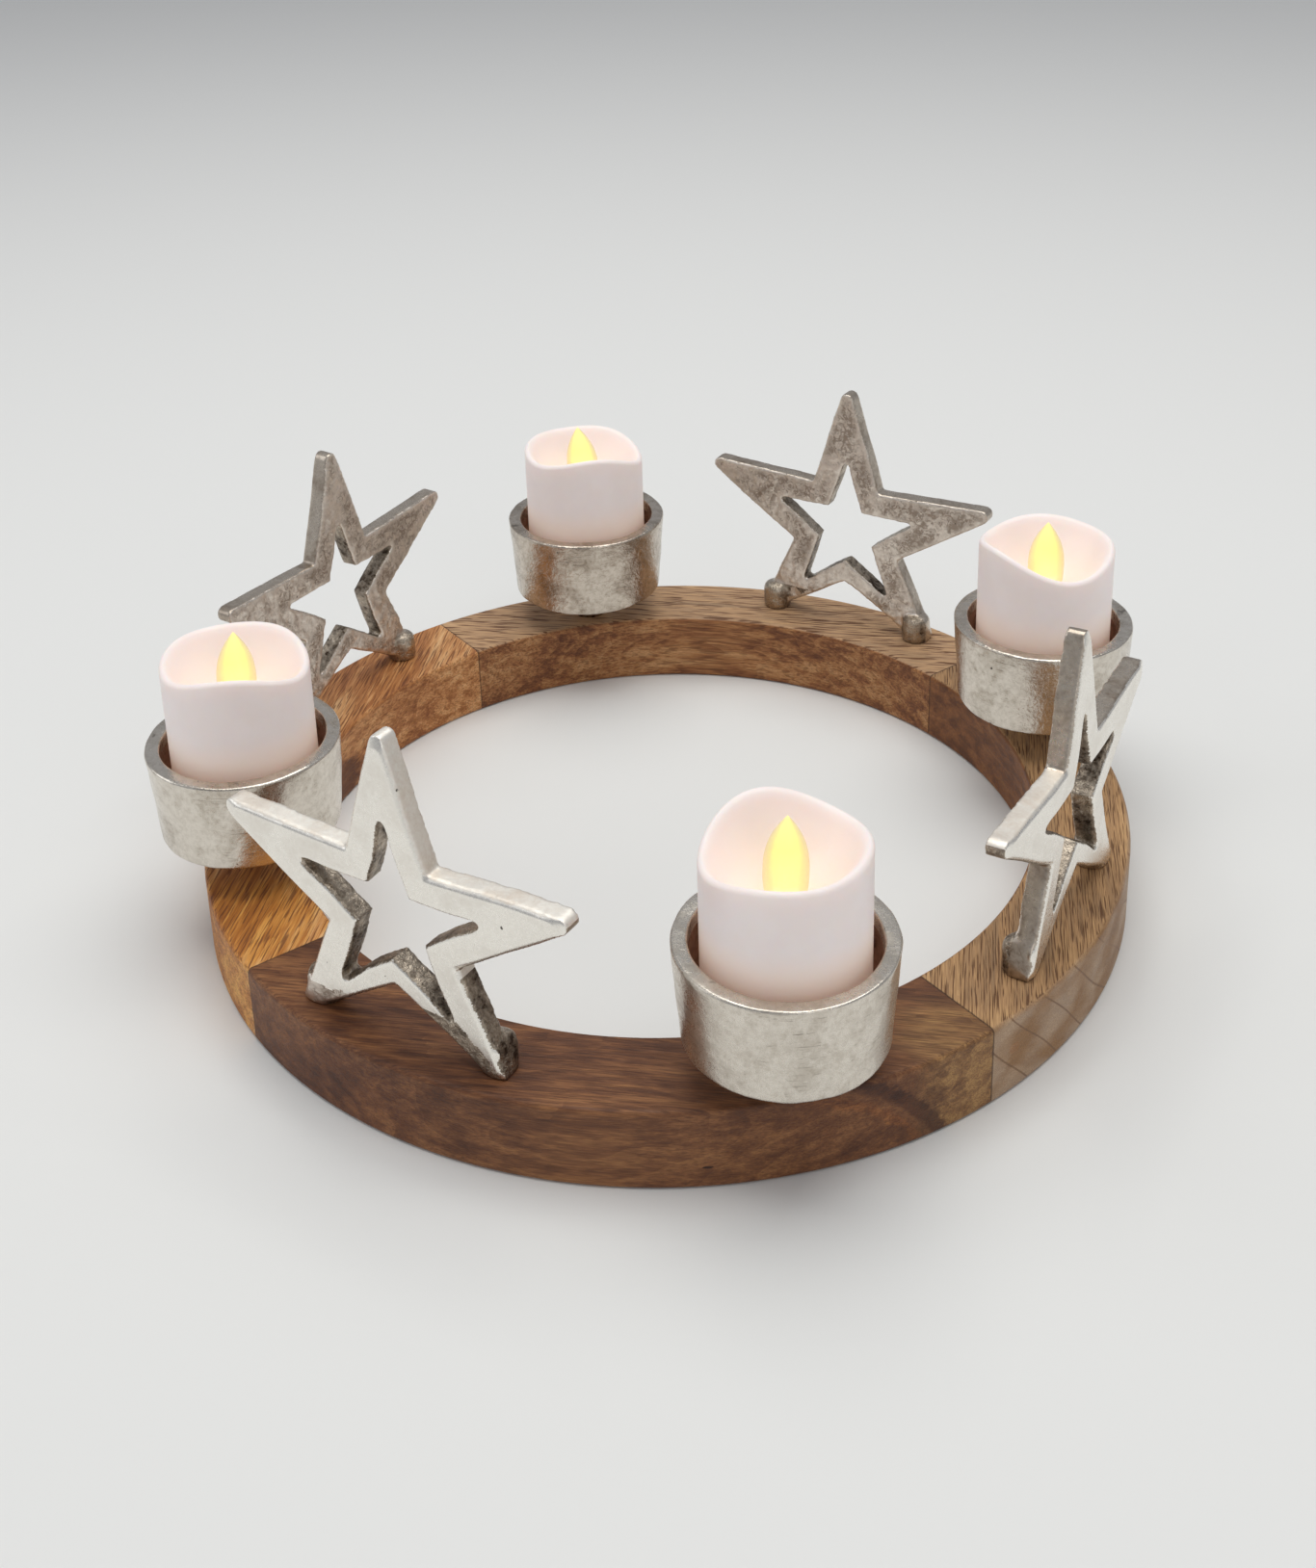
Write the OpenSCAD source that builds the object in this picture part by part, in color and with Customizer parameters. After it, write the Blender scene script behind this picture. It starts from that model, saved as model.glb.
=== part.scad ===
// Advent candle holder: a wooden ring of four glued segments that carries four cast
// openwork stars and four cast cups on short stems, each with a battery candle in it.
// Millimetres. +Z is up and the origin is the middle of the ring, level with its foot.

/* [Ring] */
// Outer diameter of the wooden ring
ring_d = 250; // [230:1:300]
// Width of the wooden band, from its inner wall to its outer wall
ring_band = 24.6; // [22:0.2:32]
// Height of the wooden band
ring_h = 21; // [18:0.5:28]
// Radius of the eased edges of the band
ring_ease = 1.2; // [0.6:0.2:2.4]
// Angle from each star to the glued joint clockwise of it
joint_angle = 22.5; // [18:0.5:27]

/* [Stars] */
// Reach of the top point from the middle of the star
star_top = 47; // [44:0.5:54]
// Reach of the two side points from the middle of the star
star_side = 50; // [44:0.5:54]
// Distance from the middle of the star to its outer notches
star_waist = 19.3; // [18.4:0.1:21]
// Distance from the middle of the star to the notch between its feet
star_arch = 17.3; // [16.4:0.1:19]
// Height of the middle of the star above the wood
star_rise = 32; // [30:0.5:35]
// Thickness of the casting
star_t = 5.6; // [4.6:0.1:7]
// Radius of the blunt points
star_round = 2.1; // [1.5:0.1:2.8]
// Reach of the five points of the star-shaped hole
star_hole = 22.8; // [20:0.2:24]
// Distance from the middle of the star to the notches of its hole
star_hole_waist = 9.9; // [9:0.1:11]
// Radius in the points of the hole
star_hole_round = 0.9; // [0.5:0.1:1.2]
// Width of the bevel round the outward face
star_bevel = 0.9; // [0.4:0.1:1.3]
// How far the star stands outward of the middle of the band
star_out = 1.5; // [0:0.1:3]
// How much wider the feet are spread than in a regular star
foot_splay_angle = 4.7; // [2:0.1:7]
// How much of each foot's point is cut off flat
foot_cut = 1.5; // [1:0.1:1.8]
// Diameter of the round boss at each foot
foot_d = 8.8; // [8:0.2:10]
// Height of the round boss at each foot
foot_h = 8.5; // [7.5:0.5:11]
// How far each boss and its screw stand inward of the middle of the star
foot_in = 1.6; // [0.6:0.1:2.2]

/* [Cups] */
// Gap between the candle and the cup's mouth
mouth_gap = 2.4; // [1.6:0.1:3.4]
// Gap between the candle and the cup's wall down at the floor
well_gap = 1.7; // [1.2:0.1:2.2]
// Wall of the cup at its rim
cup_wall = 3.9; // [3:0.1:5]
// Wall of the cup at its foot
cup_foot_wall = 2.8; // [2.2:0.1:4]
// Height of the cup from its underside to its rim
cup_h = 25; // [21:0.5:33]
// Thickness of the cup's floor
cup_floor = 5.2; // [4.2:0.1:7]
// Radius of the cup's lower edge
cup_edge = 1.2; // [0.8:0.1:2.4]
// Height of the stem that holds the cup above the wood
stem_h = 10; // [8:0.5:16]
// Diameter of the stem
stem_d = 10.5; // [9:0.5:14]

/* [Candles] */
// Diameter of a candle
candle_d = 37.4; // [36.4:0.2:42]
// Height of a candle from its foot to the mean height of its rim
candle_h = 42.8; // [38:0.2:52]
// Wall of the candle's shell
shell_wall = 1.6; // [1.2:0.1:2]
// Radius of the soft rim
rim_round = 1.1; // [0.7:0.1:1.5]
// Depth of the bowl in the top, from the mean height of the rim
bowl_depth = 15; // [11:0.5:16]
// Height of the rim's single swell
swell_one = 1.3; // [0.6:0.05:2]
// Height of the rim's double swell
swell_two = 1.55; // [0.6:0.05:2]
// Height of the rim's triple swell
swell_three = 1; // [0.2:0.05:1.2]

/* [Flames] */
// Diameter of the flame at its widest
flame_d = 10; // [9:0.2:11.5]
// Diameter of the flame's neck where it leaves the bowl
neck_d = 8.3; // [7.8:0.1:8.9]
// Height of the flame above the bowl
flame_h = 22; // [18:0.5:26]
// Height above the bowl at which the flame is widest
flame_belly = 8; // [6:0.5:9]
// Wall of the flame
flame_wall = 0.9; // [0.6:0.1:1.1]
// Width of the flange that keeps the flame under the bowl
flange_w = 2.2; // [1.4:0.1:3]
// Thickness of that flange
flange_t = 1.1; // [0.8:0.1:1.5]

/* [Works] */
// Width of the strip across the base that the switch and its walls take up
switch_strip = 6.7; // [6.5:0.1:8]
// Thickness of the coin cell
cell_h = 3.2; // [2.8:0.1:3.6]
// How far the base lies above the candle's foot
base_recess = 1; // [0.6:0.1:1.6]
// Thickness of the base plate
plate_t = 1.6; // [1.2:0.1:2]
// Wall of the battery chamber
chamber_wall = 0.8; // [0.7:0.1:1]
// Thickness of the chamber's roof
roof_t = 1.2; // [0.9:0.1:1.6]
// Width of the battery cover's rim under the cell
cover_rim = 1.6; // [1.3:0.1:1.8]
// How far the cover's lugs stand out
lug_out = 1; // [0.8:0.1:1.2]
// Width of each lug
lug_w = 5; // [4:0.2:5.6]
// Thickness of each lug
lug_t = 1; // [0.8:0.1:1.3]
// Turn that brings the cover's lugs to their notches
cover_turn = 35; // [33:1:45]
// Diameter of the light-emitting diode
led_d = 5; // [4.8:0.1:5.2]
// Height of the light-emitting diode
led_h = 8.6; // [7.6:0.1:9.4]
// Wall of the post that carries the diode
post_wall = 1.6; // [1.2:0.1:2]
// Travel of the switch
switch_travel = 2.4; // [1.8:0.1:3]
// Length of the switch's slide
slide_l = 5.4; // [5:0.1:6.2]
// Width of the switch's slide
slide_w = 3.2; // [2.8:0.1:3.4]
// Thickness of the switch's slide
slide_t = 1.2; // [0.9:0.1:1.5]
// Thickness of the contact strips
strip_t = 0.25; // [0.2:0.05:0.3]
// Width of the contact strips
strip_w = 2.4; // [1.8:0.1:2.6]

/* [Screws] */
// Diameter of the screws that hold the stars
star_screw_d = 3; // [2.6:0.1:3.4]
// Diameter of the screws that hold the cups
cup_screw_d = 4; // [3.6:0.1:4.6]
// How far a star's screw reaches into its foot
star_bite = 6; // [4:0.5:6.5]
// How far a cup's screw reaches into its stem
cup_bite = 9; // [6:0.5:10]
// Depth of the pocket that hides each screw head
head_pocket = 5; // [4:0.5:7]

/* [Hidden] */

// Sides of a true circle, sides of a candle's wavy shell and steps of a small arc
$fn = 64;
shell_sides = 48;
arc_steps = 5;

// Running clearances, seats and one overrun for every cut
seat_gap = 0.3;
run_gap = 0.25;
fit_gap = 0.1;
screw_gap = 0.05;
over = 1;

// Azimuths of the stars, and of the cups, which are set by hand and a little unevenly
star_front_angle = -90;
star_right_angle = 0;
star_back_angle = 90;
star_left_angle = 180;
front_right_angle = -45.5;
back_right_angle = 46.5;
back_left_angle = 134.2;
front_left_angle = -135.8;

// How far each cup stands outward of the middle of the band
front_right_out = 1.8;
back_right_out = -0.6;
back_left_out = -2.2;
front_left_out = -1.4;
front_right = [front_right_angle, front_right_out];
back_right = [back_right_angle, back_right_out];
back_left = [back_left_angle, back_left_out];
front_left = [front_left_angle, front_left_out];

// How far each candle is turned in its cup
front_right_swell_angle = 137;
back_right_swell_angle = 238;
back_left_swell_angle = -47;
front_left_swell_angle = -53;

// Radii of the ring and the circles that the cups and the stars stand on
ring_r = ring_d / 2;
bore_r = ring_r - ring_band;
cup_circle_r = ring_r - ring_band / 2;
star_circle_r = cup_circle_r + star_out;
quarter_angle = 90;

// Corners of a five-pointed star; its two feet are cut flat where they meet the wood
star_step_angle = 72;
foot_lean_angle = star_step_angle / 2 + foot_splay_angle;
foot_reach = (star_rise + foot_cut - star_round) / cos(foot_lean_angle) + star_round;
foot_spread = (foot_reach - star_round) * sin(foot_lean_angle) + star_round - foot_d / 2;

// Radii and levels of a cup, measured from the wood
mouth_r = candle_d / 2 + mouth_gap;
well_r = candle_d / 2 + well_gap;
rim_r = mouth_r + cup_wall;
cup_foot_r = well_r + cup_foot_wall;
cup_inner_edge = well_gap * 0.6;
rim_ease = cup_wall * 0.16;
cup_top = stem_h + cup_h;
cup_seat = stem_h + cup_floor;

// Radii and levels of a candle, measured from its own foot
candle_foot = ring_h + cup_seat + seat_gap;
shell_r = candle_d / 2;
inner_r = shell_r - shell_wall;
bowl_z = candle_h - bowl_depth;
bowl_top_r = shell_r - 2 * rim_round;
neck_hole_r = neck_d / 2 + run_gap;
bowl_curve_share = 1.6;
bowl_shares = [1, 0.75, 0.5, 0.25, 0];
roof_shares = [0, 0.5];
flange_top = bowl_z - shell_wall - fit_gap;
flange_foot = flange_top - flange_t;

// The rim's swells are three waves round the candle, each with its own lead angle
lead_one_angle = -80;
lead_two_angle = 0;
lead_three_angle = 28;

// The works: the base plate, the battery chamber with its cover, and the diode's post
base_r = inner_r - fit_gap;
plate_top = base_recess + plate_t;
chamber_r = base_r - switch_strip / 2;
channel_r = chamber_r - chamber_wall;
lug_r = channel_r - run_gap;
cover_r = lug_r - lug_out;
cell_r = cover_r - cover_rim;
cell_hole_r = cell_r + 2 * fit_gap + run_gap;
chamber_y = base_r - chamber_r - run_gap;
lug_foot = plate_top + run_gap;
cover_top = lug_foot + lug_t;
channel_top = cover_top + seat_gap;
cell_foot = cover_top + fit_gap;
cell_top = cell_foot + cell_h;
roof_foot = cell_top + strip_t + 2 * seat_gap;
roof_top = roof_foot + roof_t;
cover_skin = plate_t * 0.75;
cover_cup_r = cell_r - strip_t * 2;
lugs = 3;
coin_slot_l = cover_r * 1.1;
coin_slot_w = plate_t;
coin_slot_h = plate_t / 2;
post_bore_r = led_d / 2 - fit_gap;
post_r = post_bore_r + post_wall;
post_top = flange_foot - fit_gap;
led_r = led_d / 2;
led_collar_r = led_r * 1.16;
led_collar_h = led_d / 5;
leg_w = led_d / 10;
leg_x = led_d / 4;
leg_foot = roof_top + 2 * fit_gap;
tab_x = leg_x + leg_w / 2 + fit_gap;
tab_top = leg_foot + 3 * strip_t;
strip_foot = roof_top + fit_gap;
blade_x = cell_r - fit_gap;
blade_foot = cell_foot + cell_h / 4;
leaf_foot = cell_top + fit_gap;
leaf_reach = cell_r * 0.8;
step_in = cell_h * 0.35;
step_h = cell_h * 0.15;

// The switch lies between the battery chamber and the candle's wall
switch_edge = slide_w * 0.3;
switch_y = -(base_r - switch_edge - slide_w / 2);
slide_foot = plate_top + fit_gap;
nub_l = slide_l * 0.42;
nub_w = slide_w * 0.5;
nub_foot = base_recess * 0.25;
keeper_l = slide_l * 0.3;
keeper_t = slide_t * 0.6;
keeper_foot = slide_foot + slide_t + run_gap;
keeper_post = switch_edge * 0.6;

// Screw heads, their pockets and the cross in each head
head_r_share = 1.05;
head_h_share = 0.7;
pocket_gap = 0.6;
cross_w_share = 0.22;
cross_l_share = 1.2;
cross_h_share = 0.35;

// Points of an arc about (x, y), from angle a to angle b
function arc(x, y, r, a, b, steps = arc_steps) =
    [for (i = [0:steps]) let(t = a + (b - a) * i / steps) [x + r * cos(t), y + r * sin(t)]];

// A point at a distance and an angle, and a point moved along a turned axis
function polar(r, a) = [r * cos(a), r * sin(a)];
function turned(p, a) = [p[0] * cos(a) - p[1] * sin(a), p[0] * sin(a) + p[1] * cos(a)];

// A star point is an arc that both its flanks meet as tangents. A flank runs to the notch at
// distance waist and angle gap from the point; its value is where its tangent leaves the arc
function flank(reach, round, waist, gap) =
    let(run = reach - round - waist * cos(gap), rise = waist * sin(gap))
    90 - atan2(rise, run) + asin(round / sqrt(run * run + rise * rise));
function star_point(reach, round, a, before, after) =
    [for (p = arc(reach - round, 0, round, -before, after)) turned(p, a)];

// A star outline: its five points start at the top and go anticlockwise, each turned by its
// own splay and followed by its notch
function star_outline(reaches, splays, waists, round) =
    let(half = star_step_angle / 2)
    [for (i = [0:4]) each concat(
        star_point(reaches[i], round, 90 + star_step_angle * i + splays[i],
            flank(reaches[i], round, waists[(i + 4) % 5], half + splays[i]),
            flank(reaches[i], round, waists[i], half - splays[i])),
        [polar(waists[i], 90 + star_step_angle * (i + 0.5))])];

star_shape = star_outline([star_top, star_side, foot_reach, foot_reach, star_side],
    [0, 0, -foot_splay_angle, foot_splay_angle, 0],
    [star_waist, star_waist, star_arch, star_waist, star_waist], star_round);
hole_shape = star_outline([for (i = [0:4]) star_hole], [for (i = [0:4]) 0],
    [for (i = [0:4]) star_hole_waist], star_hole_round);

// How much the bevel draws the outline in, and opens the hole, at the outward face
star_flat = star_waist * cos(star_step_angle / 2);
hole_flat = star_hole_waist * cos(star_step_angle / 2);
bevel_share = 1 - star_bevel / star_flat;
hole_bevel_share = 1 + star_bevel / hole_flat * 0.6;

// Height of a candle's rim at angle a, and of its bowl at radius r
function rim_z(a) = candle_h + swell_one * cos(a - lead_one_angle)
    + swell_two * cos(2 * a - lead_two_angle) + swell_three * cos(3 * a - lead_three_angle);
function bowl_share(r) = pow((r - neck_hole_r) / (bowl_top_r - neck_hole_r), bowl_curve_share);
function bowl_at(r, a) = bowl_z + (rim_z(a) - rim_round * 0.7 - bowl_z) * bowl_share(r);

// One section through the shell at angle a, as [radius, height] from the outer foot
function bowl_r(s) = neck_hole_r + (bowl_top_r - neck_hole_r) * s;
function shell_section(a) = concat(
    [[shell_r, 0]],
    arc(shell_r - rim_round, rim_z(a) - rim_round, rim_round, 0, 90, 2),
    [for (s = bowl_shares) [bowl_r(s), bowl_at(bowl_r(s), a)]],
    [for (s = roof_shares) [bowl_r(s), bowl_at(bowl_r(s), a) - shell_wall * (1 + s * 0.4)]],
    [[inner_r, rim_z(a) - rim_round - shell_wall * 2], [inner_r, 0]]);

// Radius of the flame at height h above the bowl
function flame_r(h) = h < flame_belly
    ? neck_d / 2 + (flame_d - neck_d) / 2 * sin(90 * h / flame_belly)
    : flame_d / 2 * cos(90 * pow((h - flame_belly) / (flame_h - flame_belly), 1.3));
flame_low = [for (i = [0:4]) flame_belly * i / 5];
flame_high = [for (i = [0:9]) flame_belly + (flame_h - flame_belly) * i / 10];
cavity_high = [for (i = [0:4]) flame_belly + (flame_h - flame_belly) * 0.6 * i / 5];

// Places a child in the frame of a star, a cup or a candle; a place is an azimuth and
// how far outward
module at_star(a, level = ring_h) {
    rotate([0, 0, a]) translate([star_circle_r, 0, level]) children();
}
module at_cup(place, level = ring_h) {
    rotate([0, 0, place[0]]) translate([cup_circle_r + place[1], 0, level]) children();
}
module at_candle(place) {
    at_cup(place, candle_foot) rotate([0, 0, -place[0]]) children();
}
module at_feet() {
    for (side = [-1, 1]) translate([-foot_in, side * foot_spread, 0]) children();
}

// A cylinder from one level to another
module post(r, low, high) {
    translate([0, 0, low]) cylinder(r = r, h = high - low);
}

// A box from one corner to the other
module box(low, high) {
    translate(low) cube(high - low);
}

// A clearance hole with a pocket for the head, from under the wood
module screw_hole(d) {
    post(d / 2 + run_gap, -over, ring_h + over);
    post(d * head_r_share + pocket_gap, -over, head_pocket);
}

// A round-head screw, driven up from its pocket to a height above the wood
module screw(d, bite) {
    difference() {
        union() {
            post(d / 2, head_pocket, ring_h + bite);
            post(d * head_r_share, head_pocket - d * head_h_share, head_pocket);
        }
        for (turn = [0, quarter_angle]) rotate([0, 0, turn])
            translate([0, 0, head_pocket - d * head_h_share])
                cube([d * cross_l_share, d * cross_w_share, d * cross_h_share * 2], center = true);
    }
}

// The pilot hole that a screw bites into, above the wood
module pilot(d, bite) {
    post(d / 2 + screw_gap, -over, bite + d / 4);
}

// A quarter of the ring, from one glued joint to the next
module ring_segment(star_angle, cup_place, wood) {
    e = ring_ease;
    color(wood) difference() {
        rotate([0, 0, star_angle - joint_angle]) rotate_extrude(angle = quarter_angle, $fn = 128)
            polygon(concat(
                arc(bore_r + e, e, e, 180, 270), arc(ring_r - e, e, e, 270, 360),
                arc(ring_r - e, ring_h - e, e, 0, 90), arc(bore_r + e, ring_h - e, e, 90, 180)));
        at_star(star_angle, 0) at_feet() screw_hole(star_screw_d);
        at_cup(cup_place, 0) screw_hole(cup_screw_d);
    }
}

// The openwork star, standing on its two feet with its bevelled face outward
module star_plate() {
    back = -star_t / 2;
    face = star_t / 2;
    rotate([90, 0, 90]) translate([0, star_rise, back]) {
        linear_extrude(height = star_t - star_bevel) difference() {
            polygon(star_shape);
            polygon(hole_shape);
        }
        translate([0, 0, face - back - star_bevel]) difference() {
            linear_extrude(height = star_bevel, scale = bevel_share) polygon(star_shape);
            linear_extrude(height = star_bevel, scale = hole_bevel_share) polygon(hole_shape);
        }
    }
}
module foot_boss() {
    r = foot_d / 2;
    rotate_extrude() polygon(concat(
        [[0, 0]], arc(r - r / 6, r / 6, r / 6, 270, 360, 2),
        arc(r / 2, foot_h - r / 2, r / 2, 0, 90), [[0, foot_h]]));
}
module star(a) {
    color("silver") at_star(a) difference() {
        union() {
            difference() {
                star_plate();
                box([-star_t, -star_side, -star_side], [star_t, star_side, 0]);
            }
            at_feet() foot_boss();
        }
        at_feet() pilot(star_screw_d, star_bite);
    }
}

// The cast cup with its stem, turned from one section
module cup(place) {
    fillet = stem_h / 5;
    stem_r = stem_d / 2;
    color("gainsboro") at_cup(place) difference() {
        rotate_extrude() polygon(concat(
            [[0, 0], [stem_r, 0]],
            arc(stem_r + fillet, stem_h - fillet, fillet, 180, 90),
            arc(cup_foot_r - cup_edge, stem_h + cup_edge, cup_edge, 270, 360),
            arc(rim_r - rim_ease, cup_top - rim_ease, rim_ease, 0, 90, 2),
            arc(mouth_r + rim_ease, cup_top - rim_ease, rim_ease, 90, 180, 2),
            arc(well_r - cup_inner_edge, cup_seat + cup_inner_edge, cup_inner_edge, 360, 270, 3),
            [[0, cup_seat]]));
        pilot(cup_screw_d, cup_bite);
    }
}

// Every screw, each driven from below
module star_screws() {
    color("dimgray") for (a = [star_front_angle, star_right_angle, star_back_angle, star_left_angle])
        at_star(a, 0) at_feet() screw(star_screw_d, star_bite);
}
module cup_screws() {
    color("dimgray") for (place = [front_right, back_right, back_left, front_left])
        at_cup(place, 0) screw(cup_screw_d, cup_bite);
}

// The candle's shell: a soft wavy rim round a bowl, hollow underneath
module candle_shell(place, swell) {
    n = shell_sides;
    section = shell_section(0);
    m = len(section);
    points = [for (j = [0:n - 1]) let(t = 360 * j / n, s = shell_section(t - swell))
        each [for (p = s) [p[0] * cos(t), p[0] * sin(t), p[1]]]];
    faces = [for (j = [0:n - 1], i = [0:m - 1])
        let(p = j * m + i, q = j * m + (i + 1) % m, j2 = (j + 1) % n,
            u = j2 * m + i, v = j2 * m + (i + 1) % m)
        each [[p, q, v], [p, v, u]]];
    color("mistyrose") at_candle(place) polyhedron(points = points, faces = faces, convexity = 6);
}

// The translucent flame, hollow over the diode, with a flange under the bowl
module flame(place) {
    color("gold") at_candle(place) rotate_extrude() polygon(concat(
        [[neck_d / 2 - flame_wall, flange_foot], [neck_d / 2 + flange_w, flange_foot],
            [neck_d / 2 + flange_w, flange_top], [neck_d / 2, flange_top]],
        [for (h = flame_low) [flame_r(h), bowl_z + h]],
        [for (h = flame_high) [flame_r(h), bowl_z + h]],
        [[0, bowl_z + flame_h]],
        [[0, bowl_z + flame_belly + (flame_h - flame_belly) * 0.6]],
        [for (i = [4:-1:0]) [flame_r(cavity_high[i]) - flame_wall * (1 + i / 5),
            bowl_z + cavity_high[i]]],
        [for (i = [4:-1:0]) [flame_r(flame_low[i]) - flame_wall, bowl_z + flame_low[i]]]));
}

// The light-emitting diode on its two legs
module led(place) {
    color("khaki") at_candle(place) union() {
        post(led_collar_r, post_top, post_top + led_collar_h);
        post(led_r, post_top, post_top + led_h - led_r);
        translate([0, 0, post_top + led_h - led_r]) sphere(r = led_r);
        for (side = [-1, 1]) box(
            [side * leg_x - leg_w / 2, -leg_w / 2, leg_foot],
            [side * leg_x + leg_w / 2, leg_w / 2, post_top + led_collar_h / 2]);
    }
}

// The base: plate, battery chamber, diode post and the switch's slot and keeper
module candle_base(place) {
    slot_l = nub_l + switch_travel + 2 * run_gap;
    slot_w = nub_w + 2 * run_gap;
    keeper_y = switch_y - slide_w / 2 - run_gap;
    color("ivory") at_candle(place) difference() {
        union() {
            post(base_r, base_recess, plate_top);
            translate([0, chamber_y, 0]) post(chamber_r, base_recess, roof_top);
            post(post_r, roof_foot, post_top);
            box([-keeper_l / 2, keeper_y - keeper_post, plate_t + base_recess / 2],
                [keeper_l / 2, keeper_y, keeper_foot + keeper_t]);
            box([-keeper_l / 2, keeper_y - keeper_post, keeper_foot],
                [keeper_l / 2, chamber_y - cell_hole_r - chamber_wall, keeper_foot + keeper_t]);
        }
        translate([0, chamber_y, 0]) {
            post(cover_r + run_gap, base_recess - over, plate_top + run_gap / 2);
            post(channel_r, plate_top, channel_top);
            post(cell_hole_r, plate_top, roof_foot);
            for (i = [0:lugs - 1]) rotate([0, 0, i * 360 / lugs - cover_turn]) box(
                [cover_r - lug_out, -lug_w / 2 - run_gap, base_recess - over],
                [channel_r, lug_w / 2 + run_gap, plate_top + run_gap / 2]);
        }
        post(post_bore_r, roof_foot - over, post_top + over);
        box([blade_x - 2 * fit_gap, -strip_w / 2 - fit_gap, blade_foot - run_gap],
            [blade_x + strip_t + 2 * fit_gap, strip_w / 2 + fit_gap, roof_top + over]);
        box([0, -strip_w / 2 - fit_gap, roof_top],
            [post_r + over, strip_w / 2 + fit_gap, strip_foot + strip_t + run_gap]);
        box([-slot_l / 2, switch_y - slot_w / 2, base_recess - over],
            [slot_l / 2, switch_y + slot_w / 2, plate_top + over]);
    }
}

// The battery cover: a shallow cup with a coin slot and three bayonet lugs
module battery_cover(place) {
    color("whitesmoke") at_candle(place) translate([0, chamber_y, 0]) difference() {
        union() {
            post(cover_r, base_recess, cover_top);
            intersection() {
                post(lug_r, lug_foot, cover_top);
                for (i = [0:lugs - 1]) rotate([0, 0, i * 360 / lugs]) box(
                    [cover_r - lug_out, -lug_w / 2, lug_foot],
                    [lug_r + over, lug_w / 2, cover_top]);
            }
        }
        post(cover_cup_r, base_recess + cover_skin, cover_top + over);
        box([-coin_slot_l / 2, -coin_slot_w / 2, base_recess - over],
            [coin_slot_l / 2, coin_slot_w / 2, base_recess + coin_slot_h]);
    }
}

// The coin cell, its smaller negative face up
module coin_cell(place) {
    color("lightslategray") at_candle(place) translate([0, chamber_y, 0]) union() {
        post(cell_r, cell_foot, cell_top - step_h);
        post(cell_r - step_in, cell_foot, cell_top);
    }
}

// The positive contact: a blade beside the cell and a strip to one leg of the diode
module positive_contact(place) {
    color("goldenrod") at_candle(place) union() {
        box([blade_x, -strip_w / 2, blade_foot], [blade_x + strip_t, strip_w / 2, strip_foot]);
        box([tab_x, -strip_w / 2, strip_foot],
            [blade_x + strip_t, strip_w / 2, strip_foot + strip_t]);
        box([tab_x, -leg_w, strip_foot], [tab_x + strip_t, leg_w, tab_top]);
    }
}

// The negative contact: a leaf on the cell and a tab to the other leg of the diode
module negative_contact(place) {
    color("goldenrod") at_candle(place) union() {
        box([-leaf_reach, -strip_w / 2, leaf_foot], [-tab_x, strip_w / 2, leaf_foot + strip_t]);
        box([-tab_x - strip_t, -leg_w, leaf_foot], [-tab_x, leg_w, tab_top]);
    }
}

// The switch, stored switched on: a slide in the base with a nub through the slot
module switch_slide(place) {
    color("white") at_candle(place) translate([-switch_travel / 2, switch_y, 0]) union() {
        box([-slide_l / 2, -slide_w / 2, slide_foot], [slide_l / 2, slide_w / 2, slide_foot + slide_t]);
        box([-nub_l / 2, -nub_w / 2, nub_foot], [nub_l / 2, nub_w / 2, slide_foot]);
    }
}

ring_segment(star_front_angle, front_right, "saddlebrown");  // ring_segment_front
ring_segment(star_right_angle, back_right, "peru");  // ring_segment_right
ring_segment(star_back_angle, back_left, "tan");  // ring_segment_back
ring_segment(star_left_angle, front_left, "sandybrown");  // ring_segment_left
star(star_front_angle);  // star_front
star(star_right_angle);  // star_right
star(star_back_angle);  // star_back
star(star_left_angle);  // star_left
cup(front_right);  // cup_front_right
cup(back_right);  // cup_back_right
cup(back_left);  // cup_back_left
cup(front_left);  // cup_front_left
star_screws();
cup_screws();
candle_shell(front_right, front_right_swell_angle);  // candle_shell_front_right
candle_shell(back_right, back_right_swell_angle);  // candle_shell_back_right
candle_shell(back_left, back_left_swell_angle);  // candle_shell_back_left
candle_shell(front_left, front_left_swell_angle);  // candle_shell_front_left
flame(front_right);  // flame_front_right
flame(back_right);  // flame_back_right
flame(back_left);  // flame_back_left
flame(front_left);  // flame_front_left
led(front_right);  // led_front_right
led(back_right);  // led_back_right
led(back_left);  // led_back_left
led(front_left);  // led_front_left
candle_base(front_right);  // candle_base_front_right
candle_base(back_right);  // candle_base_back_right
candle_base(back_left);  // candle_base_back_left
candle_base(front_left);  // candle_base_front_left
battery_cover(front_right);  // battery_cover_front_right
battery_cover(back_right);  // battery_cover_back_right
battery_cover(back_left);  // battery_cover_back_left
battery_cover(front_left);  // battery_cover_front_left
coin_cell(front_right);  // coin_cell_front_right
coin_cell(back_right);  // coin_cell_back_right
coin_cell(back_left);  // coin_cell_back_left
coin_cell(front_left);  // coin_cell_front_left
positive_contact(front_right);  // positive_contact_front_right
positive_contact(back_right);  // positive_contact_back_right
positive_contact(back_left);  // positive_contact_back_left
positive_contact(front_left);  // positive_contact_front_left
negative_contact(front_right);  // negative_contact_front_right
negative_contact(back_right);  // negative_contact_back_right
negative_contact(back_left);  // negative_contact_back_left
negative_contact(front_left);  // negative_contact_front_left
switch_slide(front_right);  // switch_slide_front_right
switch_slide(back_right);  // switch_slide_back_right
switch_slide(back_left);  // switch_slide_back_left
switch_slide(front_left);  // switch_slide_front_left
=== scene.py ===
import math

import bmesh
import bpy
from mathutils import Matrix, Vector, kdtree, noise


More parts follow.
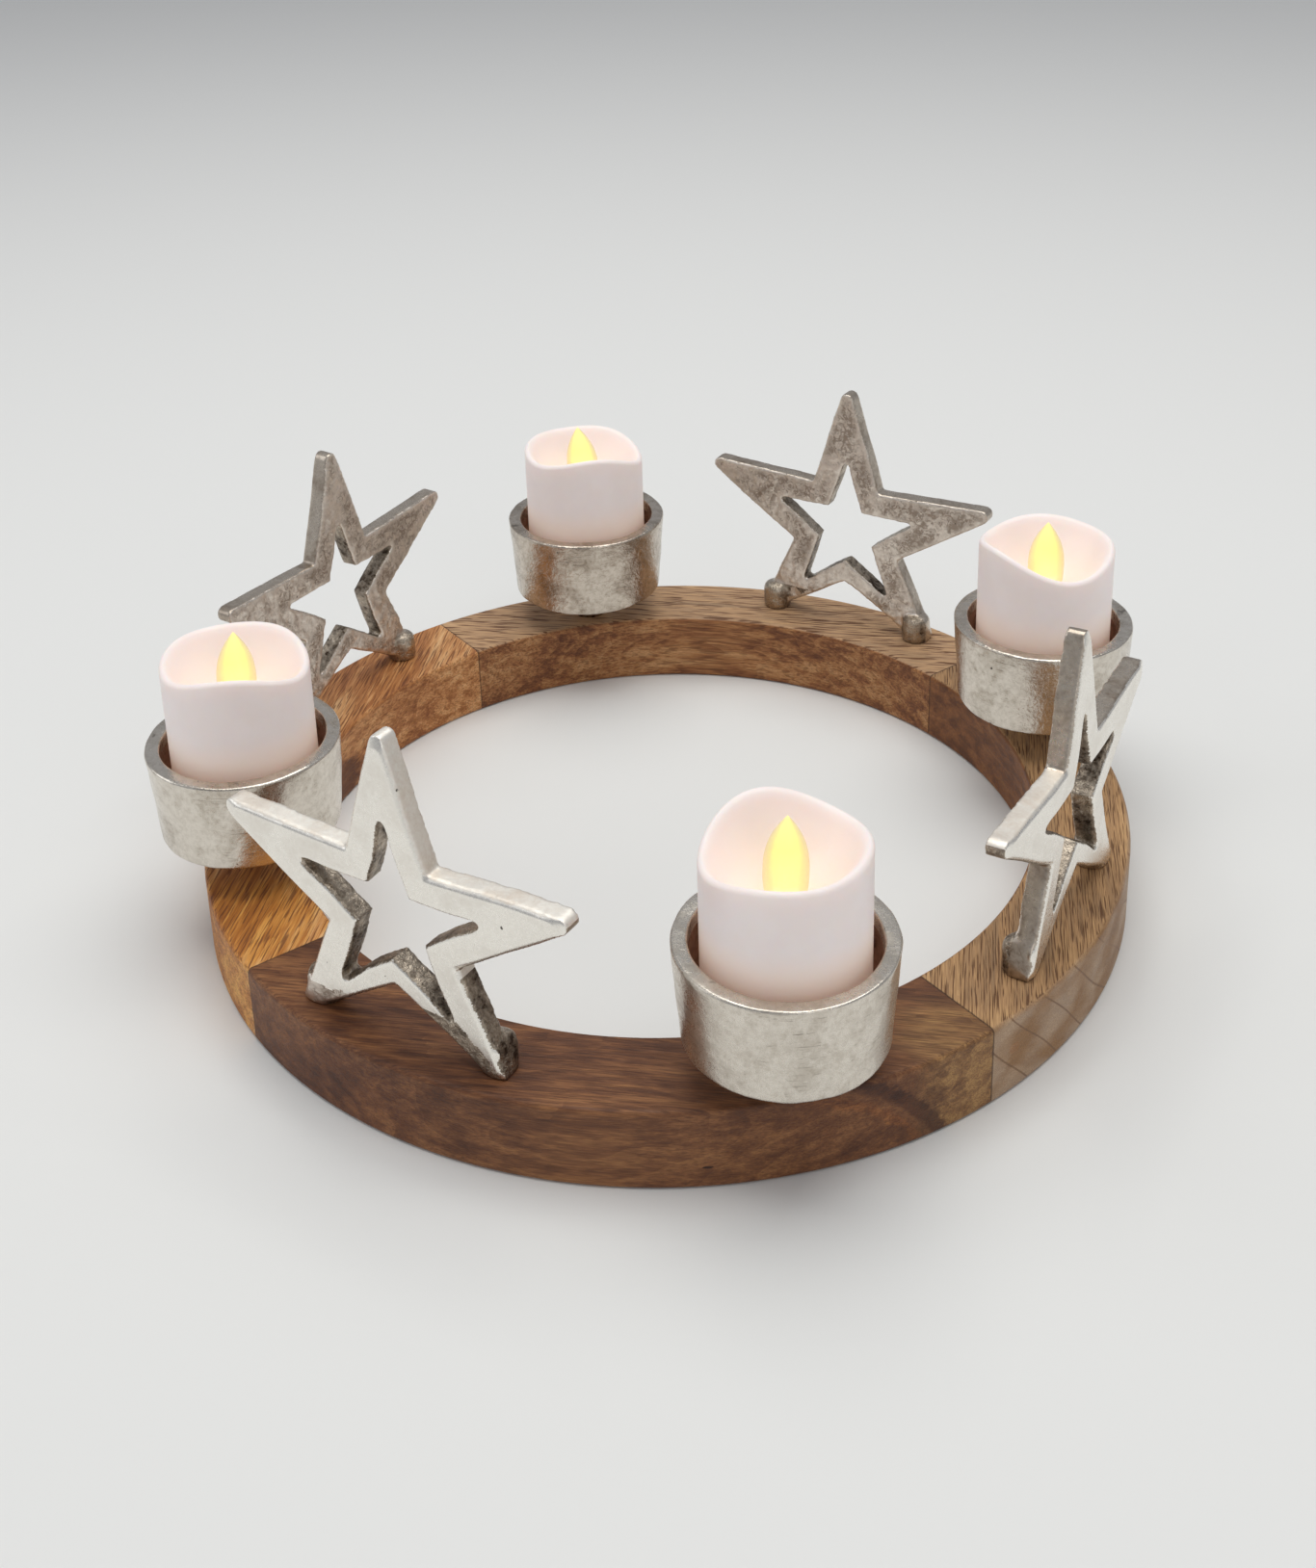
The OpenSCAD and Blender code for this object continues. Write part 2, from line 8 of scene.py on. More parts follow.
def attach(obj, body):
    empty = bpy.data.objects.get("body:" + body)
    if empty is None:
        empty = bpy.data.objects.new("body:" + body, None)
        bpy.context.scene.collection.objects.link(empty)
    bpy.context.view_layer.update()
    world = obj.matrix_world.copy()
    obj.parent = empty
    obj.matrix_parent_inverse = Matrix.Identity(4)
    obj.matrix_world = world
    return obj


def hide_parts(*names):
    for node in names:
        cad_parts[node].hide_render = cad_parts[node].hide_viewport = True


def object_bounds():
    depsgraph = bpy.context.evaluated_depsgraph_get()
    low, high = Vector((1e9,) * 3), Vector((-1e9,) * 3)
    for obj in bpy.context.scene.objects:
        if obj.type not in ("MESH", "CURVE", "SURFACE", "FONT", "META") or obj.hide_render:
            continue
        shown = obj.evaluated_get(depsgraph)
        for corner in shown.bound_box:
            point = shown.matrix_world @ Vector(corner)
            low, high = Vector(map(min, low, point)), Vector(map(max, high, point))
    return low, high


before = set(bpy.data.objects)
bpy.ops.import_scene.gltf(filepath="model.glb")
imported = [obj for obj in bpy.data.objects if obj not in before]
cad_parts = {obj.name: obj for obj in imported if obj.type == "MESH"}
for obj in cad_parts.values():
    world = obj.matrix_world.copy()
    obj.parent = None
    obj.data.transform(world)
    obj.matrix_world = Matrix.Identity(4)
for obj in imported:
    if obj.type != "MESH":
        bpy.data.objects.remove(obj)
cad_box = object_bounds()
MM = 0.001

# The height of the image in pixels, and the camera that matches it
IMAGE_H = 1628
FOCAL_PX = 1943.0
CENTRE_Y_PX = 400.0
CAMERA_AT = (0.23597, -0.37735, 0.30879)
CAMERA_TURN = math.radians(31.897)
CAMERA_PITCH = math.radians(20.701)
CAMERA_ROLL = math.radians(-1.619)
SENSOR_MM = 36.0
CLIP_FROM, CLIP_TO = 0.01, 20.0

# The stage: the floor's width, and each lamp's place, aim, size, power and colour
FLOOR_SIZE, FLOOR_COLOUR, FLOOR_ROUGH = 12, (0.80, 0.80, 0.785, 1), 0.85
SKY_COLOUR, SKY_STRENGTH = (0.93, 0.95, 1.0, 1), 0.38
LAMPS = {"ceiling": ((0.0, 0.10, 1.3), (0, 0, 0), (1.3, 1.2), 12.0, (1.0, 0.995, 0.965)),
         "window": ((-1.5, -0.9, 0.9), (0, 0, 0.05), (1.2, 1.0), 4.0, (0.97, 0.985, 1.0)),
         "fill": ((1.4, -1.0, 0.8), (0, 0, 0.05), (1.0, 1.0), 3.0, (1.0, 0.985, 0.96))}

# Places round the ring: each cup's azimuth in degrees and its distance from the axis in
# millimetres, each star's azimuth, and the azimuth of the first glued joint
CORNERS = {"front_right": (-45.5, 114.5), "back_right": (46.5, 112.1),
           "back_left": (134.2, 110.5), "front_left": (-135.8, 111.3)}
SIDES = {"front": -90, "right": 0, "back": 90, "left": 180}
STAR_CIRCLE = 114.2
JOINT_AT = -22.5

# The ring: its height, and where the look of its top face, its inner wall and its outer wall begins
RING_H = 21.0
TOP_FACE = (20.4, 20.9)
INNER_WALL = (100.9, 100.6)
OUTER_WALL = (124.7, 125.9)


def make_camera():
    """The camera of the photograph, with its lens shifted as the photograph's framing needs."""
    data = bpy.data.cameras.new("camera")
    cam = bpy.data.objects.new("camera", data)
    bpy.context.scene.collection.objects.link(cam)
    data.sensor_fit = "AUTO"
    data.sensor_width = SENSOR_MM
    data.lens = FOCAL_PX * SENSOR_MM / IMAGE_H
    data.shift_y = (CENTRE_Y_PX - IMAGE_H / 2) / IMAGE_H
    data.clip_start, data.clip_end = CLIP_FROM, CLIP_TO
    turn = Matrix.Rotation(CAMERA_TURN, 4, "Z")
    tilt = Matrix.Rotation(math.pi / 2 - CAMERA_PITCH, 4, "X")
    roll = Matrix.Rotation(CAMERA_ROLL, 4, "Z")
    cam.matrix_world = Matrix.Translation(CAMERA_AT) @ turn @ tilt @ roll
    bpy.context.scene.camera = cam


# Stage

def area_light(name, at, look, size, power, colour):
    """A rectangular lamp at one point that looks at another."""
    data = bpy.data.lights.new(name, "AREA")
    data.shape = "RECTANGLE"
    data.size, data.size_y = size
    data.energy = power
    data.color = colour
    lamp = bpy.data.objects.new(name, data)
    lamp.location = at
    lamp.rotation_euler = (Vector(look) - Vector(at)).to_track_quat("-Z", "Y").to_euler()
    bpy.context.scene.collection.objects.link(lamp)


def make_stage():
    """A plain pale floor, a soft sky and three soft lamps."""
    bpy.ops.mesh.primitive_plane_add(size=FLOOR_SIZE)
    floor = bpy.context.object
    floor.name = "floor"
    g = Graph("floor_paper")
    g.surface(**{"Base Color": FLOOR_COLOUR, "Roughness": FLOOR_ROUGH})
    floor.data.materials.append(g.mat)
    world = bpy.data.worlds.new("room")
    bpy.context.scene.world = world
    world.use_nodes = True
    back = world.node_tree.nodes["Background"]
    back.inputs["Color"].default_value = SKY_COLOUR
    back.inputs["Strength"].default_value = SKY_STRENGTH
    for name, lamp in LAMPS.items():
        area_light(name, *lamp)
    bpy.context.scene.view_settings.view_transform = "Standard"
    bpy.context.scene.view_settings.look = "None"


# Materials

class Graph:
    """A material's node graph, written a node at a time. Every colour in it is linear."""

    def __init__(self, name):
        self.mat = bpy.data.materials.new(name)
        self.mat.use_nodes = True
        self.tree = self.mat.node_tree
        self.tree.nodes.clear()
        self.out = self.tree.nodes.new("ShaderNodeOutputMaterial")
        self.coords = None

    def node(self, kind, inputs=None, **props):
        n = self.tree.nodes.new("ShaderNode" + kind)
        for key, value in props.items():
            setattr(n, key, value)
        for key, value in (inputs or {}).items():
            if isinstance(value, bpy.types.NodeSocket):
                self.tree.links.new(value, n.inputs[key])
            else:
                n.inputs[key].default_value = value
        return n

    def place(self, scale=(1, 1, 1), turn=0.0, shift=(0, 0, 0)):
        """Object coordinates in millimetres, turned about Z, then stretched and shifted."""
        if self.coords is None:
            at = self.node("TexCoord").outputs["Object"]
            self.coords = self.node("Mapping", {"Vector": at, "Scale": (1 / MM,) * 3}).outputs[0]
        of = self.coords
        if turn:
            of = self.node("Mapping", {"Vector": of, "Rotation": (0, 0, turn)}).outputs[0]
        return self.node("Mapping", {"Vector": of, "Scale": scale, "Location": shift}).outputs[0]

    def noise(self, at, scale=1.0, detail=3.0, rough=0.55, distort=0.0):
        return self.node("TexNoise", {"Vector": at, "Scale": scale, "Detail": detail,
                                      "Roughness": rough, "Distortion": distort}).outputs["Fac"]

    def math(self, op, a, b=0.0, c=0.0):
        return self.node("Math", {0: a, 1: b, 2: c}, operation=op).outputs[0]

    def tint(self, mask, colour, factors):
        """colour, multiplied by factors where mask is 1."""
        return self.mix(mask, colour, self.mix(1.0, colour, factors, "MULTIPLY"))

    def fit(self, value, low, high, to_low=0.0, to_high=1.0):
        """value mapped smoothly from low..high to to_low..to_high."""
        return self.node("MapRange", {"Value": value, "From Min": low, "From Max": high,
                                      "To Min": to_low, "To Max": to_high},
                         interpolation_type="SMOOTHSTEP").outputs[0]

    def ramp(self, value, stops):
        """The colour of stops, which are pairs of place and colour, at value."""
        n = self.node("ValToRGB", {"Fac": value})
        points = n.color_ramp.elements
        while len(points) < len(stops):
            points.new(0.5)
        for point, (at, colour) in zip(points, stops):
            point.position, point.color = at, (*colour, 1)
        return n.outputs["Color"]

    def mix(self, share, a, b, how="MIX"):
        """a where share is 0 and b where it is 1; a and b are sockets or colours."""
        n = self.node("Mix", {"Factor": share}, data_type="RGBA", blend_type=how)
        for key, value in ((6, a), (7, b)):
            if isinstance(value, bpy.types.NodeSocket):
                self.tree.links.new(value, n.inputs[key])
            else:
                n.inputs[key].default_value = (*value, 1)
        return n.outputs[2]

    def bump(self, height, depth_mm, strength):
        return self.node("Bump", {"Height": height, "Distance": depth_mm * MM,
                                  "Strength": strength}).outputs[0]

    def surface(self, **inputs):
        """Ends the graph in a principled shader."""
        n = self.node("BsdfPrincipled", inputs)
        self.tree.links.new(n.outputs[0], self.out.inputs[0])


def lin(r, g, b):
    """A screen colour of 0 to 255 as linear light."""
    return tuple(((v / 255 + 0.055) / 1.055) ** 2.4 if v > 10 else v / 3294 for v in (r, g, b))


# The woods' noises: how far each is stretched along and across the grain, in parts of a millimetre,
# then its detail, roughness and distortion
GRAIN = {"cloud": ((0.016, 0.045, 0.045), 4.0, 0.55, 0.6), "warp": ((0.012, 0.05, 0.05), 2.0, 0.5, 0.0),
         "streak": ((0.020, 0.30, 0.30), 3.0, 0.6, 0.3), "fibre": ((0.07, 1.8, 1.8), 3.0, 0.62, 0.0),
         "fine": ((0.16, 4.2, 4.2), 2.0, 0.6, 0.0), "spots": ((0.09, 0.42, 0.42), 4.0, 0.65, 0.0)}

# How much the rings, clouds, streaks, fibres and spots add to a wood's tone, and where each of its
# four tones stands on the ramp
RING_SHARE, CLOUD_SHARE, STREAK_SHARE, FIBRE_SHARE, SPOT_SHARE = 0.16, 0.30, 0.26, 0.20, 0.24
TONE_STOPS = (0.14, 0.40, 0.62, 0.90)

# Growth rings: their stretch along the grain, and how far they sway sideways and up in millimetres
RING_STRETCH, RING_SWAY = 0.10, (9.0, 6.0)

# Pores: the noise at which one begins and is full, and its stretch along the grain
PORE_FROM, PORE_TO, PORE_STRETCH = 0.54, 0.63, 0.11

# Millimetres from one check line of the pale wall to the next
CHECK_STEP = 15

# The scale that gives a wave texture a period of 1 mm, in rings and in bands aslant
RING_WAVE, BAND_WAVE = 0.314, 0.628

# Glued joints: half the width of their seam, where it ends and where it is fully dark
SEAM_HALF = (0.28, 0.10)
SEAM_TONE, CHECK_TONE = (38, 24, 16), (104, 78, 60)


def patch(g, colour, ragged, fibre, centre, size, factors, soft):
    """A patch of another colour with a ragged edge, round centre."""
    spot = g.place(tuple(1 / s for s in size), 0.0, tuple(-c / s for c, s in zip(centre, size)))
    far = g.node("VectorMath", {0: spot}, operation="LENGTH").outputs["Value"]
    rag = g.math("MULTIPLY_ADD", ragged, 0.9, g.math("MULTIPLY_ADD", fibre, 0.35, far))
    return g.tint(g.fit(rag, 1.15 + soft, 1.15, 0.0, 1.0), colour, factors)


def band(g, colour, ragged, centre, radius, width, factors):
    """A growth band on a sphere round centre, faded in over 12 mm of x beyond it."""
    far = g.node("VectorMath", {0: g.place(), 1: centre}, operation="DISTANCE").outputs["Value"]
    off = g.math("ABSOLUTE", g.math("SUBTRACT", g.math("MULTIPLY_ADD", ragged, 5.0, far), radius + 2.5))
    ahead = g.node("SeparateXYZ", {0: g.place()}).outputs[0]
    mask = g.math("MULTIPLY", g.fit(off, width, 0.4 * width), g.fit(ahead, centre[0], centre[0] + 12))
    return g.tint(mask, colour, factors)


def glare_and_checks(g, cloud):
    """A painted glare on the outer wall: a grey-brown veil that stands for the floor's reflection, with
    thin check lines aslant.
    """
    glare_veil = g.noise(g.place((0.05, 0.05, 0.09)), 1.0, 3.0, 0.5, 0.4)
    glare_veil = g.ramp(g.fit(glare_veil, 0.35, 0.65), [(0.0, lin(146, 112, 76)), (1.0, lin(183, 161, 137))])
    lines = g.node("TexWave", {"Vector": g.place(), "Scale": BAND_WAVE / CHECK_STEP, "Distortion": 5.0,
                               "Detail": 1.0, "Detail Scale": 0.4},
                   wave_type="BANDS", bands_direction="DIAGONAL").outputs["Fac"]
    check = g.math("MULTIPLY", g.fit(lines, 0.990, 0.998, 0.0, 0.8), g.fit(cloud, 0.42, 0.50))
    return g.mix(check, glare_veil, lin(*CHECK_TONE))


def wood(name, along, tones, pore, ring_mm, pith, seed, pores, mottle, streaky=1.0, wall_pores=0.6,
         dash_scale=3.0, patches=(), bands=(), wall_glare=0.0, sheen_top=(0.0, (255, 255, 255)), inner=None):
    """Oiled hardwood.

    along is the grain's azimuth in degrees, and tones run from dark to light. ring_mm and pith are the
    growth rings' width and middle. pores, mottle and streaky say how strong the pores, spots and
    streaks are, wall_pores how much of the pores the walls keep, and dash_scale how thin they are.
    wall_glare is the outer wall's share of a grey painted glare, which stands for the floor's reflection,
    sheen_top the top face's share of a paler colour, a painted sheen, and inner multiplies the inner wall's
    colour.
    """
    g = Graph(name)
    turn = -math.radians(along)
    shift = (seed * 31.0, seed * 17.0, seed * 7.0)
    cloud, warp, streak, fibre, fine, spots = (g.noise(g.place(stretch, turn, shift), 1.0, *more)
                                               for stretch, *more in GRAIN.values())
    at = g.place((RING_STRETCH, 1, 1), turn, (0, *pith))
    side, rise = RING_SWAY
    sway = g.node("CombineXYZ", {0: 0.0, 1: g.fit(warp, 0.2, 0.8, -side, side),
                                 2: g.fit(cloud, 0.2, 0.8, -rise, rise)}).outputs[0]
    warped = g.node("VectorMath", {0: at, 1: sway}, operation="ADD").outputs[0]
    rings = g.node("TexWave", {"Vector": warped, "Scale": RING_WAVE / ring_mm, "Distortion": 1.6,
                               "Detail": 2.0, "Detail Scale": 0.4}, wave_type="RINGS",
                   rings_direction="X", wave_profile="SAW").outputs["Fac"]
    tone = g.math("MULTIPLY", rings, RING_SHARE)
    for share, value in ((CLOUD_SHARE, cloud), (STREAK_SHARE * streaky, streak), (FIBRE_SHARE, fibre),
                         (SPOT_SHARE * mottle, spots)):
        tone = g.math("MULTIPLY_ADD", g.fit(value, 0.35, 0.65), share, tone)
    colour = g.ramp(tone, [(stop, lin(*c)) for stop, c in zip(TONE_STOPS, tones)])
    for spot in patches:
        colour = patch(g, colour, spots, fibre, *spot)
    for growth in bands:
        colour = band(g, colour, spots, *growth)

    # The top face and the walls differ in their pores, and the top face takes a painted sheen
    dashes = g.noise(g.place((PORE_STRETCH, dash_scale, dash_scale), turn, shift), 1.0, 1.0, 0.4)
    x, y, z = g.node("SeparateXYZ", {0: g.coords}).outputs
    radius = g.math("SQRT", g.math("MULTIPLY_ADD", x, x, g.math("MULTIPLY", y, y)))
    on_top = g.fit(z, *TOP_FACE)
    dash = g.math("MULTIPLY", g.fit(dashes, PORE_FROM, PORE_TO, 0.0, pores),
                  g.fit(on_top, 0.0, 1.0, wall_pores, 1.0))
    # A painted sheen: the top face is mixed towards a paler colour
    sheen_share, sheen_colour = sheen_top
    colour = g.mix(g.math("MULTIPLY", on_top, sheen_share), colour, lin(*sheen_colour))
    if inner:
        colour = g.tint(g.fit(radius, *INNER_WALL), colour, inner)
    # A painted glare: the outer wall is mixed towards a grey-brown that stands for the floor's reflection,
    # and the pores fade under it
    if wall_glare:
        pale = g.fit(g.math("MULTIPLY_ADD", cloud, 1.6, radius), *OUTER_WALL, 0.0, wall_glare)
        colour = g.mix(pale, colour, glare_and_checks(g, cloud))
        dash = g.math("MULTIPLY", dash, g.fit(pale, 0.0, 0.5, 1.0, 0.25))
    colour = g.mix(dash, colour, lin(*pore))
    colour = g.mix(g.fit(fine, 0.62, 0.40, 0.0, 0.30), colour, lin(*tones[0]))
    seam = joint_seam(g)
    colour = g.mix(g.math("MULTIPLY", seam, 0.75), colour, lin(*SEAM_TONE))
    rough = g.math("MULTIPLY_ADD", dash, 0.2, g.fit(fibre, 0.3, 0.7, 0.46, 0.60))
    height = g.math("MULTIPLY_ADD", fine, 0.4, g.math("MULTIPLY", fibre, 0.5))
    height = g.math("MULTIPLY_ADD", dash, -0.9, height)
    height = g.math("MULTIPLY_ADD", seam, -1.5, height)
    g.surface(**{"Base Color": colour, "Roughness": rough, "Normal": g.bump(height, 0.16, 0.8),
                 "Specular IOR Level": 0.34, "Coat Weight": 0.05, "Coat Roughness": 0.30})
    return g.mat


def joint_seam(g):
    """Up to 0.85 along the glued joints, which lie on two crossed planes through the ring's axis."""
    near = None
    for k in (0, 1):
        a = math.radians(JOINT_AT + 90 * k)
        plane = (-math.sin(a), math.cos(a), 0)
        off = g.node("VectorMath", {0: g.place(), 1: plane}, operation="DOT_PRODUCT")
        d = g.math("ABSOLUTE", off.outputs["Value"])
        near = d if near is None else g.math("MINIMUM", near, d)
    return g.fit(near, *SEAM_HALF, 0.0, 0.85)


SCRATCH_TONE, BLOWHOLE_TONE = (112, 102, 92), (52, 44, 38)


def cast_metal(name, bright, dull, rough, pit_mm, pit_depth, dull_share, seed, grainy=0.35,
               scratched=0.0, marked=0.0):
    """Cast aluminium: dull in its hollows, and bright along the rims of its broad sides, where a highlight
    is painted.

    The mesh's rim_highlight attribute is 1 at the rim of a broad side, where the painted highlight is; a
    mesh without it has none. grainy is the height of the fine grain, scratched the strength of level
    scratches, and marked that of wavy stains.
    """
    g = Graph(name)
    shift = (seed * 13.0, seed * 5.0, seed * 29.0)
    at = g.place((1, 1, 1), 0.0, shift)
    lumps = g.noise(at, 0.9 / pit_mm, 3.0, 0.6, 0.5)
    grain = g.noise(at, 3.0 / pit_mm, 2.0, 0.65)
    stain = g.noise(at, 0.10, 4.0, 0.62, 0.4)
    wear = g.noise(at, 0.5, 3.0, 0.6)
    wavy = g.noise(at, 0.55, 3.0, 0.6, 1.6)
    edge = g.node("Attribute", attribute_name="rim_highlight").outputs["Fac"]
    dulled = g.math("MULTIPLY_ADD", g.fit(wear, 0.40, 0.68), 0.40, g.fit(stain, 0.42, 0.66, 0.0, 0.7))
    dulled = g.math("MULTIPLY_ADD", g.fit(lumps, 0.52, 0.36), 0.35, dulled)
    share = g.math("MULTIPLY", dulled, dull_share)
    mark = g.math("MULTIPLY", g.fit(wavy, 0.46, 0.54), g.fit(stain, 0.36, 0.56, 0.15 * marked, marked))
    share = g.math("MAXIMUM", share, mark)
    # A painted highlight: along the rims of broad sides the dull share falls to a quarter
    share = g.math("MULTIPLY", share, g.fit(edge, 0.0, 1.0, 1.0, 0.25))
    colour = g.mix(share, lin(*bright), lin(*dull))
    brushed = g.noise(g.place((0.10, 0.10, 4.0), 0.0, shift), 1.0, 3.0, 0.6)
    if scratched:
        scratch = g.math("MULTIPLY", g.fit(brushed, 0.58, 0.66), g.fit(stain, 0.50, 0.60, 0.0, scratched))
        colour = g.mix(scratch, colour, lin(*SCRATCH_TONE))
    cell = g.node("TexVoronoi", {"Vector": at, "Scale": 0.22, "Randomness": 1.0}, feature="F1")
    hole = g.math("MULTIPLY", g.fit(cell.outputs["Distance"], 0.12, 0.07),
                  g.fit(wear, 0.60, 0.64, 0.0, 0.9))
    colour = g.mix(hole, colour, lin(*BLOWHOLE_TONE))
    height = g.math("MULTIPLY_ADD", grain, grainy, lumps)
    height = g.math("MULTIPLY_ADD", mark, -0.5, g.math("MULTIPLY_ADD", hole, -1.6, height))
    height = g.math("MULTIPLY_ADD", brushed, 0.25 if scratched else 0.0, height)
    g.surface(**{"Base Color": colour, "Metallic": 1.0,
                 "Roughness": g.math("MULTIPLY_ADD", share, 0.16,
                                     g.fit(grain, 0.3, 0.7, rough - 0.04, rough + 0.05)),
                 "Normal": g.bump(height, pit_depth, 0.9)})
    return g.mat


def plastic(name, colour, rough):
    """Moulded plastic with a fine spark-eroded grain and faint cloudiness."""
    g = Graph(name)
    grain = g.noise(g.place(), 4.0, 2.0, 0.6)
    cloud = g.noise(g.place(), 0.12, 3.0, 0.5)
    tint = g.mix(g.fit(cloud, 0.35, 0.65, 0.0, 0.10), lin(*colour), lin(*(v * 0.86 for v in colour)))
    g.surface(**{"Base Color": tint, "Roughness": g.fit(grain, 0.3, 0.7, rough - 0.05, rough + 0.06),
                 "Normal": g.bump(grain, 0.02, 0.5)})
    return g.mat


def plated(name, colour, rough):
    """Plated or nickelled metal with faint turning marks."""
    g = Graph(name)
    marks = g.noise(g.place((1, 1, 8)), 1.4, 3.0, 0.6)
    tint = g.mix(g.fit(marks, 0.35, 0.65), lin(*colour), lin(*(v * 0.8 for v in colour)))
    g.surface(**{"Base Color": tint, "Metallic": 1.0,
                 "Roughness": g.fit(marks, 0.3, 0.7, rough - 0.05, rough + 0.08),
                 "Normal": g.bump(marks, 0.02, 0.5)})
    return g.mat


def wax(name):
    """Wax-like translucent shell.

    The mesh's attributes say how much of the diode's light shows: glow in the bowl and the upper body,
    blush in the lower body.
    """
    g = Graph(name)
    glow = g.node("Attribute", attribute_name="glow").outputs["Fac"]
    blush = g.node("Attribute", attribute_name="blush").outputs["Fac"]
    cloud = g.noise(g.place(), 0.10, 3.0, 0.5)
    skin = g.noise(g.place(), 0.9, 3.0, 0.6)
    body = g.mix(g.fit(cloud, 0.35, 0.65, 0.0, 0.35), lin(242, 232, 230), lin(236, 223, 219))
    body = g.mix(g.math("MULTIPLY", blush, 0.7), body, lin(245, 224, 209))
    body = g.mix(g.fit(glow, 0.3, 0.8, 0.0, 0.9), body, lin(238, 224, 226))
    light = g.mix(glow, g.mix(blush, lin(250, 222, 212), lin(250, 206, 182)), lin(255, 226, 218))
    shine = g.math("MULTIPLY_ADD", blush, 0.07, g.fit(glow, 0.0, 1.0, 0.085, 0.12))
    g.surface(**{"Base Color": body, "Roughness": g.fit(skin, 0.3, 0.7, 0.42, 0.52),
                 "Subsurface Weight": 0.35, "Subsurface Radius": (1.0, 0.6, 0.4), "Subsurface Scale": 0.004,
                 "Emission Color": light, "Emission Strength": shine,
                 "Normal": g.bump(skin, 0.05, 0.5), "Specular IOR Level": 0.4})
    return g.mat


def flame_plastic(name):
    """Frosted amber tip, lit from inside: a white hot spot low down, a yellow core and a pale rim."""
    g = Graph(name)
    rise = g.node("Attribute", attribute_name="rise").outputs["Fac"]
    frost = g.noise(g.place(), 1.2, 3.0, 0.6)
    facing = g.node("LayerWeight", {"Blend": 0.5}).outputs["Facing"]
    facing = g.math("MULTIPLY_ADD", g.fit(frost, 0.3, 0.7, -0.5, 0.5), 0.12, facing)
    core = g.ramp(rise, [(0.0, lin(250, 216, 120)), (0.13, lin(255, 240, 160)), (0.22, lin(255, 255, 246)),
                         (0.34, lin(255, 250, 150)), (0.7, lin(255, 244, 96)), (1.0, lin(252, 232, 110))])
    shine = ((0.0, 0.62), (0.14, 0.50), (0.42, 0.20), (1.0, 0.10))
    skin = g.ramp(facing, [(at, (strength,) * 3) for at, strength in shine])
    tint = g.ramp(facing, [(0.0, lin(252, 240, 164)), (0.30, lin(252, 236, 168)),
                           (0.60, lin(251, 232, 176)), (1.0, lin(248, 222, 176))])
    g.surface(**{"Base Color": tint, "Roughness": g.fit(frost, 0.3, 0.7, 0.35, 0.5),
                 "Specular IOR Level": 0.3,
                 "Emission Color": g.mix(g.fit(facing, 0.2, 0.6), core, lin(252, 236, 150)),
                 "Emission Strength": skin, "Normal": g.bump(frost, 0.06, 0.5)})
    return g.mat


def lens(name):
    """The lit diode."""
    g = Graph(name)
    haze = g.noise(g.place(), 1.5, 2.0, 0.5)
    g.surface(**{"Base Color": lin(255, 250, 225) + (1,), "Roughness": g.fit(haze, 0.3, 0.7, 0.1, 0.2),
                 "Emission Color": lin(255, 246, 206) + (1,), "Emission Strength": 4.0})
    return g.mat


# Pieces

def new_piece(name, bm, body, stands_for, materials):
    """Makes a piece from bm, smooth all over, that rides on body."""
    mesh = bpy.data.meshes.new(name)
    bm.normal_update()
    bm.to_mesh(mesh)
    bm.free()
    for polygon in mesh.polygons:
        polygon.use_smooth = True
    obj = bpy.data.objects.new(name, mesh)
    bpy.context.scene.collection.objects.link(obj)
    for material in materials:
        mesh.materials.append(material)
    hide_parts(stands_for)
    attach(obj, body)
    return obj


def point_values(obj, name, values):
    """Gives obj's mesh a number at each point, for its material to read."""
    for point, value in zip(obj.data.attributes.new(name, "FLOAT", "POINT").data, values):
        point.value = value


def smooth(a, b, x):
    """0 at a and 1 at b, eased."""
    t = min(1.0, max(0.0, (x - a) / (b - a)))
    return t * t * (3 - 2 * t)


# A lathe's point nearer to the axis than this is its pole
POLE_R = 1e-6


def arc(x, y, r, a, b, steps):
    """Points of an arc about (x, y), in millimetres, from angle a to angle b in degrees."""
    angles = [math.radians(a + (b - a) * i / steps) for i in range(steps + 1)]
    return [(x + r * math.cos(t), y + r * math.sin(t)) for t in angles]


def line(p, q, steps):
    """Points from p to q, without q."""
    return [tuple(a + (b - a) * i / steps for a, b in zip(p, q)) for i in range(steps)]


def lathe(section, count, closed=True):
    """A turned solid. section(t) gives [radius, height] points in mm at angle t; radius 0 makes a pole."""
    bm = bmesh.new()
    columns = []
    poles = {}
    for j in range(count):
        t = 2 * math.pi * j / count
        column = []
        for i, (r, z) in enumerate(section(t)):
            if r < POLE_R:
                if i not in poles:
                    poles[i] = bm.verts.new((0, 0, z * MM))
                column.append(poles[i])
            else:
                column.append(bm.verts.new((r * math.cos(t) * MM, r * math.sin(t) * MM, z * MM)))
        columns.append(column)
    for j, column in enumerate(columns):
        other = columns[(j + 1) % count]
        rows = len(column)
        for i in range(rows if closed else rows - 1):
            k = (i + 1) % rows
            corners = []
            for v in (column[i], other[i], other[k], column[k]):
                if v not in corners:
                    corners.append(v)
            if len(corners) > 2:
                bm.faces.new(corners)
    bmesh.ops.recalc_face_normals(bm, faces=bm.faces)
    return bm


def corner_point(corner, z_mm=0.0):
    """The point on a cup's axis at z_mm above the table, in metres."""
    azimuth, distance = CORNERS[corner]
    a = math.radians(azimuth)
    return Vector((distance * math.cos(a), distance * math.sin(a), z_mm)) * MM


def at_corner(bm, corner, z_mm):
    """Moves bm from the ring's middle to a cup's axis, and up by z_mm."""
    bmesh.ops.translate(bm, verts=bm.verts, vec=corner_point(corner, z_mm))


